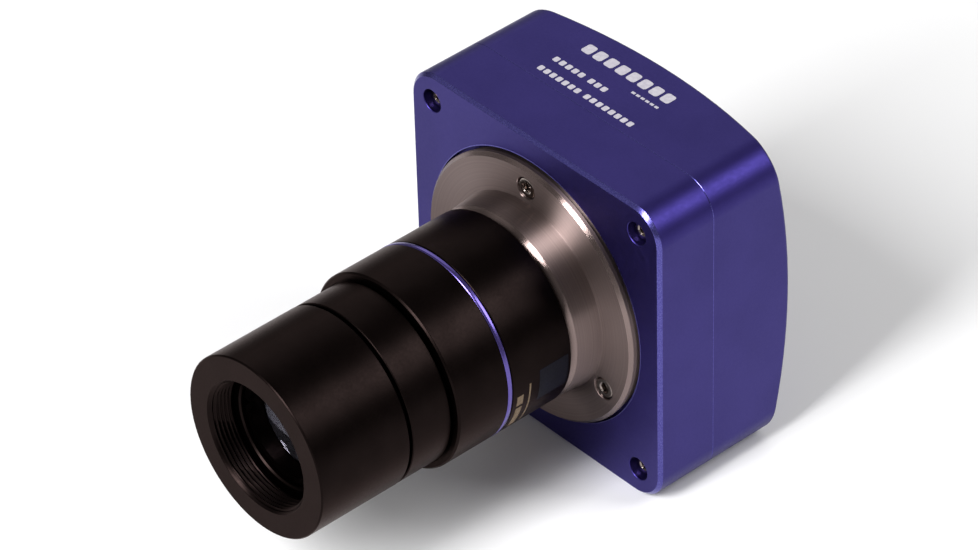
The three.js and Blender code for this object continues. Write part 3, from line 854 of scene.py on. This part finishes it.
def optics_tube():
    """The tube that holds the lenses, with a narrow stop behind the rear one."""
    front, back = ends("lens_tube")
    radius, bore, mouth = radius_of("lens_tube"), 9.7, 9.95
    stop, stop_front, stop_back = 8.6, -41.2, -39.7
    ring_piece("optics_tube", "lens_tube", "black_anodised", "adapter", [
        (bore, back), (radius, back, 0.1), (radius, front + 0.2, 0.1), (radius - 0.3, front, 0.1),
        (mouth, front, 0.08), (bore, front + 0.3), (bore, stop_front), (stop, stop_front, 0.05),
        (stop, stop_back, 0.05), (bore, stop_back),
    ])


def distance_shim():
    front, back = ends("focal_shim")
    inner, outer = 12.75, 15.9
    ring_piece("distance_shim", "focal_shim", "bright_steel", "shim", [
        (inner, back, 0.02), (outer, back, 0.05), (outer, front, 0.05), (inner, front, 0.02),
    ])


def adapter():
    rear_sleeve()
    accent_band()
    front_sleeve()
    fixed_collar()
    optics_tube()
    distance_shim()


def lens(name, node, front_vertex, front_curve, back_vertex, back_curve):
    """A polished lens with a ground edge and small bevels. A positive curve bulges forwards."""
    radius, steps, bevel, sides = radius_of(node), 20, 0.15, 96

    def surface(vertex, curve):
        side = 1 if curve > 0 else -1
        return [
            (r, vertex + side * (abs(curve) - math.sqrt(curve * curve - r * r)))
            for r in ((radius - bevel) * i / steps for i in range(steps + 1))
        ]

    first = surface(front_vertex, front_curve)
    last = surface(back_vertex, back_curve)
    solid = Solid()
    solid.turn([
        *first, (radius, first[-1][1] + bevel), (radius, last[-1][1] - bevel), *reversed(last),
    ], sides)
    return place(solid, name, "glass", "adapter", node, sharp=50.0)


def retaining_ring():
    """The ring in front of the lenses, with two slots in its front for a key."""
    solid = Solid()
    front, back = ends("lens_retainer")
    inner, outer, slot_half, depth, sides = 8.4, radius_of("lens_retainer"), 0.6, 0.8, 120

    def depth_at(x, z):
        return front + (depth if abs(z) < slot_half else 0.0)

    solid.walls([
        (circle(inner, sides), back), (circle(inner, sides), depth_at),
        (circle(outer, sides), depth_at), (circle(outer, sides), back), (circle(inner, sides), back),
    ])
    return place(solid, "retaining_ring", "black_anodised", "adapter", "lens_retainer")


def optics():
    """Two lenses that bulge on both sides, the spacer between them and the ring in front."""
    lens("front_element", "front_lens", ends("front_lens")[0], 26, -46.9, -29)
    lens("rear_element", "rear_lens", ends("rear_lens")[0], 60, -40.25, -34)
    front, back = ends("lens_spacer")
    inner, outer, reach = 8.7, 9.5, front - 0.75  # the reach is further forwards than the CAD node's
    ring_piece("element_spacer", "lens_spacer", "black_anodised", "adapter", [
        (inner, back, 0.05), (outer, back, 0.05), (outer, reach, 0.05), (inner, reach, 0.05),
    ])
    retaining_ring()


def nose_barrel():
    """The nosepiece, with nearly six turns of thread in its mouth."""
    solid = Solid()
    front, back = ends("nosepiece")
    radius = radius_of("nosepiece")
    bore, relief, relief_front, relief_back = 11.75, 14.3, -52, -43
    root, crest, thread_back, runout = 11.25, -0.42, -53.7, 0.2
    mouth, tail, edge = 0.35, 0.75, 0.22  # bevels inside the mouth, at the back and at the front
    solid.lathe([
        (root, thread_back), (root, thread_back + runout), (bore, thread_back + runout),
        (bore, relief_front), (relief, relief_front), (relief, relief_back), (bore, relief_back),
        (bore, back, 0.1), (radius - tail, back, 0.08), (radius, back - tail, 0.1),
        (radius, front + edge, 0.12), (radius - edge, front, 0.12), (root + mouth, front, 0.08),
        (root, front + mouth),
    ])
    solid.thread(root, crest, front + mouth, thread_back, FILTER_PITCH)
    return place(solid, "nose_barrel", "black_anodised", "nosepiece", "nosepiece")


# ---- Sockets in the back ----


def well_loop(corners, centre, grow, steps):
    """A loop through corners that are measured from the centre, scaled by grow."""
    loop = []
    for (x0, z0), (x1, z1) in zip(corners, corners[1:] + corners[:1]):
        for i in range(steps):
            x = x0 + (x1 - x0) * i / steps
            z = z0 + (z1 - z0) * i / steps
            loop.append((centre[0] + x * grow, centre[1] + z * grow))
    return loop


def usb_can(centre, width, height, front, mouth, wall):
    """The metal shell of the USB socket, with a rolled rim."""
    def outline(inset):
        corner = max(0.2, 0.7 - inset)
        return rounded_box(width / 2 - inset, height / 2 - inset, corner, 5, centre=centre)

    can = Solid()
    can.walls([
        (outline(wall), front + wall), (outline(wall), mouth - 0.25), (outline(wall * 0.7), mouth - 0.06),
        (outline(wall * 0.45), mouth), (outline(0.08), mouth - 0.08), (outline(0), mouth - 0.3),
        (outline(0), front),
    ])
    can.disc(outline(0), front)
    can.disc(outline(wall), front + wall)
    place(can, "usb_can", "tinned_steel", "camera", "usb_shell")


def usb_socket():
    """A square USB socket: shell, moulded body with a D-shaped well, tongue and four contacts."""
    centre = centre_of("usb_shell")
    width, height = size_of("usb_shell")
    front, mouth = ends("usb_shell")
    wall = 0.4
    usb_can(centre, width, height, front, mouth, wall)

    half, low, shoulder, top_half, top = 4.25, -3.9, 2.3, 2.7, 3.9
    corners = [
        (-half, low), (half, low), (half, shoulder), (top_half, top), (-top_half, top), (-half, shoulder)
    ]
    bevel, bevel_depth = 0.3, 0.4
    wide = 1 + bevel / half
    narrow_well = well_loop(corners, centre, 1, 12)
    wide_well = well_loop(corners, centre, wide, 12)
    face, floor, back = mouth - 0.3, mouth - 9.5, front + wall + GAP
    room = wall + GAP
    shell = rounded_box(width / 2 - room, height / 2 - room, 0.3, 5, centre=centre)
    body = Solid()
    body.sheet(shell, [wide_well], face)
    body.walls([(wide_well, face), (narrow_well, face - bevel_depth), (narrow_well, floor)])
    body.sheet(narrow_well, [], floor)
    body.walls([(shell, face), (shell, back)])
    body.sheet(shell, [], back)

    tongue = Solid()
    shoulder_y, tip_y = mouth - 1.8, mouth - 1.4
    tongue_loop = rounded_box(2.8, 1.55, 0.2, 4, centre=centre)
    tongue_tip = rounded_box(2.55, 1.3, 0.2, 4, centre=centre)
    tongue.walls([(tongue_loop, floor), (tongue_loop, shoulder_y), (tongue_tip, tip_y)])
    tongue.sheet(tongue_tip, [], tip_y)
    tongue.sheet(tongue_loop, [], floor)
    place(body, "usb_body", "white_moulding", "camera", "usb_insert")
    place(tongue, "usb_tongue", "white_moulding", "camera")

    pads = Solid()
    for x, z in ((-1.25, 1.6), (1.25, 1.6), (-1.25, -1.6), (1.25, -1.6)):
        pad = rounded_box(0.5, 0.12, 0.08, 3, centre=(centre[0] + x, centre[1] + z))
        pad_ends = [(pad, floor + 0.2), (pad, mouth - 2.2)]
        pads.walls(pad_ends)
        pads.disc(*pad_ends[0])
        pads.disc(*pad_ends[1])
    place(pads, "usb_contacts", "brass", "camera")


def guide_socket():
    """A six-way modular socket: a stepped plug well with a notch for the latch, and six wires."""
    centre = centre_of("guide_socket")
    width, height = size_of("guide_socket")
    front, mouth = ends("guide_socket")
    right = [(4.95, 4.35), (4.95, -2.55), (3.15, -2.55), (3.15, -4.5), (1.8, -4.5), (1.8, -5.1)]
    corners = right + [(-x, z) for x, z in reversed(right)]
    wide = 1.03
    narrow_well = well_loop(corners, centre, 1, 6)
    wide_well = well_loop(corners, centre, wide, 6)
    floor, bevel_depth, soft = mouth - 11, 0.3, 0.15
    body = Solid()
    shell = rounded_box(width / 2, height / 2, 0.4, 5, centre=centre)
    lip = rounded_box(width / 2 - soft, height / 2 - soft, 0.3, 5, centre=centre)
    body.sheet(lip, [wide_well], mouth)
    body.walls([(wide_well, mouth), (narrow_well, mouth - bevel_depth), (narrow_well, floor)])
    body.sheet(narrow_well, [], floor)
    body.walls([(lip, mouth), (shell, mouth - soft), (shell, front)])
    body.sheet(shell, [], front)
    place(body, "guide_jack", "black_moulding", "camera", "guide_socket")

    pitch = 1.02
    path = [(10.6, 3.95), (3.2, 3.3), (2.5, 3.5), (2.4, 3.9)]  # depth in the well, and z
    wires = Solid()
    for i in range(6):
        x = centre[0] + (i - 2.5) * pitch
        loops = [
            (rounded_box(0.22, 0.16, 0.1, 3, centre=(x, centre[1] + z)), mouth - depth) for depth, z in path
        ]
        wires.walls(loops)
        wires.disc(*loops[0])
        wires.disc(*loops[-1])
    place(wires, "guide_pins", "brass", "camera", "guide_contacts")


def light_guide():
    """The clear rod that leads the status lamp's light to the back, with a domed end."""
    solid = Solid()
    front, back = ends("light_pipe")
    radius = radius_of("light_pipe")
    side_end, dome_radius, dome_end = back - 0.35, radius * 0.7, back - 0.1
    solid.lathe([
        (0, front), (radius, front, 0.1), (radius, side_end, 0.2), (dome_radius, dome_end, 0.4), (0, back),
    ], SMALL, centre_of("light_pipe"))
    return place(solid, "light_guide", "clear_plastic", "camera", "light_pipe")


# ---- Printed marks ----


def printed_block(solid, loop, low, high):
    """A flat printed block on the housing's top, between two heights above the lens axis."""
    rings = []
    for level in (low, high):
        start = len(solid.points)
        solid.points += [(x, y, level) for x, y in loop]
        rings.append(list(range(start, len(solid.points))))
    solid.bridge(*rings)
    solid.faces.append(tuple(rings[1]))
    solid.faces.append(tuple(reversed(rings[0])))


def top_print():
    """Rows of plain blocks on the rear half's top, where a maker's print would be."""
    solid = Solid()
    rows = [  # y of the middle, start x, block width and height, space between blocks, blocks in each run
        (22.8, -12.4, 2.0, 2.3, 0.6, (8,)),
        (17.2, -13.6, 1.05, 1.2, 0.42, (5, 3)),
        (13.9, -13.6, 1.02, 1.2, 0.40, (7, 8)),
        (19.9, 1.6, 0.75, 0.5, 0.30, (6,)),
    ]
    roundness = 0.22
    for middle, x, width, height, space, runs in rows:
        corner = height * roundness
        for run in runs:
            for _ in range(run):
                block = rounded_box(width / 2, height / 2, corner, 4, centre=(x + width / 2, middle))
                printed_block(solid, block, HALF, HALF + INK)
                x += width + space
            x += 2 * space
    return place(solid, "top_print", "anodised_blue", "camera", look=PALE_INK)


def wrapped(solid, radius, y0, y1, start_degrees, end_degrees):
    """A thin printed patch wrapped round the barrel, above the radius."""
    thickness = 0.02
    steps = max(3, round(abs(end_degrees - start_degrees)))
    angles = [
        math.radians(start_degrees + (end_degrees - start_degrees) * i / steps) for i in range(steps + 1)
    ]
    rows = []
    for level in (radius, radius + thickness):
        for y in (y0, y1):
            start = len(solid.points)
            solid.points += [(level * math.cos(a), y, level * math.sin(a)) for a in angles]
            rows.append(list(range(start, len(solid.points))))
    a, b, c, d = rows
    for i in range(steps):
        solid.faces += [
            (c[i], c[i + 1], d[i + 1], d[i]), (a[i], b[i], b[i + 1], a[i + 1]),
            (a[i], a[i + 1], c[i + 1], c[i]), (b[i], d[i], d[i + 1], b[i + 1]),
        ]
    solid.faces += [(a[0], c[0], d[0], b[0]), (a[-1], b[-1], d[-1], c[-1])]


def barrel_print():
    """Plain bars and a plain patch low on the rear sleeve."""
    radius = radius_of("rear_barrel")
    bars = Solid()
    # y of the middle, half width, and the angles where each bar starts and ends
    for y, half, start, end in ((-18.6, 0.65, -7, -14), (-18.6, 0.65, -16, -34), (-16.6, 0.16, -2, -34)):
        wrapped(bars, radius, y - half, y + half, start, end)
    place(bars, "barrel_bars", "black_anodised", "adapter", look=GOLD_INK)
    patch = Solid()
    wrapped(patch, radius, -14.6, -8.6, 3, -19)
    place(patch, "barrel_patch", "black_anodised", "adapter", look=NAVY_INK)


# ---- Assembly ----

front_shell()
rear_shell()
screws()
c_mount()
adapter()
optics()
nose_barrel()
usb_socket()
guide_socket()
light_guide()
top_print()
barrel_print()

# Every CAD node that stays gets the finish of its own slot.
for subpart in frame["record"]["subparts"]:
    node = frame["nodes"][subpart["node"]]
    node.data.materials.clear()
    node.data.materials.append(LOOKS[subpart["material_slot"]])


# ---- Floor, light and camera ----


def towards(azimuth, elevation):
    """A unit vector from the object, with azimuth 0 in front of the nosepiece and 90 at its right."""
    az, el = math.radians(azimuth), math.radians(elevation)
    return Vector((math.sin(az) * math.cos(el), -math.cos(az) * math.cos(el), math.sin(el)))


# The point in the middle of the picture, found with the camera by fitting the object's outlines.
AIM = Vector((AXIS_X - 11.196 * MM, FRONT, AXIS_Z - 4.409 * MM))
SOFTBOX_DISTANCE = 0.9


def floor():
    """A pale square under the object."""
    half = 3.0
    corners = [(-half, -half, 0), (half, -half, 0), (half, half, 0), (-half, half, 0)]
    mesh = bpy.data.meshes.new("floor")
    mesh.from_pydata(corners, [], [(0, 1, 2, 3)])
    plane = bpy.data.objects.new("floor", mesh)
    bpy.context.scene.collection.objects.link(plane)
    mesh.materials.append(pale_floor())


def softbox(name, azimuth, elevation, width, height, power):
    """A rectangular light that faces the object. Sizes are in metres and power in watts."""
    lamp = bpy.data.lights.new(name, "AREA")
    lamp.shape = "RECTANGLE"
    lamp.size, lamp.size_y = width, height
    lamp.energy = power
    direction = towards(azimuth, elevation)
    holder = bpy.data.objects.new(name, lamp)
    holder.location = AIM + direction * SOFTBOX_DISTANCE
    holder.rotation_euler = direction.to_track_quat("Z", "Y").to_euler()
    bpy.context.scene.collection.objects.link(holder)


def studio():
    """A dim, even surround and four softboxes."""
    world = bpy.data.worlds.new("studio")
    world.use_nodes = True
    surround = world.node_tree.nodes["Background"]
    surround.inputs["Color"].default_value = (1.0, 0.985, 0.97, 1)
    surround.inputs["Strength"].default_value = 0.24
    bpy.context.scene.world = world
    softbox("back_softbox", 134, 39, 0.34, 0.48, 3.2)
    softbox("front_softbox", 6, 40, 0.24, 0.50, 10.5)
    softbox("low_softbox", -44, 31, 0.40, 0.40, 0.12)
    softbox("left_softbox", -131, 38, 0.80, 0.60, 1.3)
    bpy.context.scene.view_settings.view_transform = "Standard"
    bpy.context.scene.view_settings.look = "None"


def camera():
    """The photo's viewpoint: direction and roll in degrees, distance in metres, lens in millimetres."""
    azimuth, elevation, roll, distance, lens_mm = 49.166, 38.455, -1.721, 0.8409, 191.79
    back = towards(azimuth, elevation)
    level = Vector((math.cos(math.radians(azimuth)), math.sin(math.radians(azimuth)), 0))
    upright = back.cross(level)
    spin = math.radians(roll)
    right = level * math.cos(spin) + upright * math.sin(spin)
    up = upright * math.cos(spin) - level * math.sin(spin)
    data = bpy.data.cameras.new("camera")
    data.lens = lens_mm
    data.sensor_width = 36
    data.clip_start = 0.01
    holder = bpy.data.objects.new("camera", data)
    turn = Matrix((right, up, back)).transposed().to_4x4()
    holder.matrix_world = Matrix.Translation(AIM + back * distance) @ turn
    bpy.context.scene.collection.objects.link(holder)
    bpy.context.scene.camera = holder


floor()
studio()
camera()
